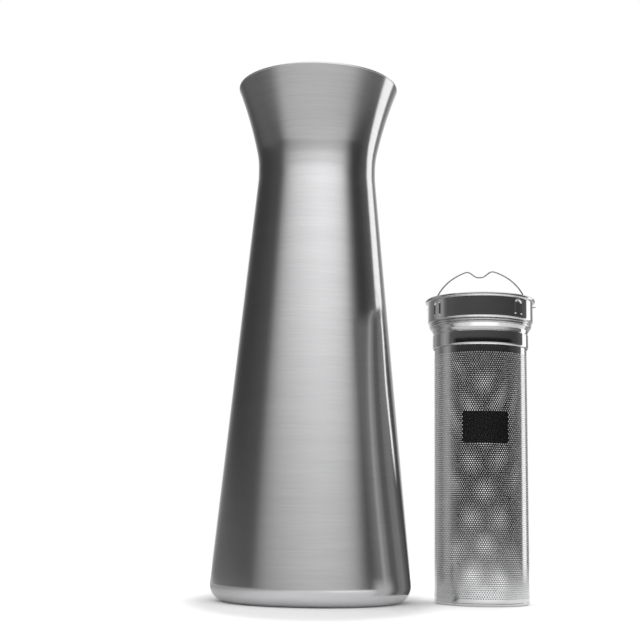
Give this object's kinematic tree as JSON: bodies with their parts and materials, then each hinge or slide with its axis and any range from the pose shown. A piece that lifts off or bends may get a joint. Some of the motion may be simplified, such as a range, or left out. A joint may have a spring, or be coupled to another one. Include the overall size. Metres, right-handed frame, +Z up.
{
  "type": "thermal carafe with tea infuser",
  "caption": "Double-walled steel carafe with a tapered body, narrow waist and flared mouth, a press-in stopper, and a perforated tea infuser with a wire bail beside it.",
  "frame": {"origin": "centre of the carafe's foot, on the table", "axes": "+Z up along the carafe's axis, +X towards the infuser, -Y towards the camera"},
  "size_m": [0.1801, 0.11, 0.292],
  "materials": {
    "brushed_shell": "fine horizontal brushing",
    "flask_steel": "satin, spun",
    "pressed_steel": "polished pressing",
    "mesh_steel": "perforated sheet, polished",
    "wire_steel": "drawn wire",
    "plug_plastic": "fine matt",
    "silicone": "matt silicone",
    "seal_glass": "fused glass bead",
    "getter_metal": "plain metal"
  },
  "bodies": {
    "carafe": {"outer_shell": "brushed_shell", "outer_base": "flask_steel", "base_pad": "silicone", "seal_bead": "seal_glass", "inner_flask": "flask_steel", "getter_capsule": "getter_metal"},
    "stopper": {"stopper_body": "plug_plastic", "stopper_seal": "silicone", "stopper_lid": "brushed_shell", "stopper_knob": "pressed_steel", "stopper_nut": "pressed_steel"},
    "infuser": {"infuser_collar": "pressed_steel", "infuser_tube": "mesh_steel", "infuser_base": "pressed_steel"},
    "bail": {"infuser_bail": "wire_steel"}
  },
  "joints": [
    {"name": "stopper_lift", "type": "slide", "parent": "carafe", "child": "stopper", "axis": [0, 0, 1], "range_m": [0, 0.1]},
    {"name": "infuser_lift", "type": "slide", "parent": "carafe", "child": "infuser", "axis": [0, 0, 1], "range_m": [0, 0.1]},
    {"name": "bail_swing", "type": "hinge", "parent": "infuser", "child": "bail", "pos_m": [0.0942, 0.0027, 0.1643], "axis": [0.9799, -0.1994, 0], "range_deg": [-90, 90]}
  ]
}
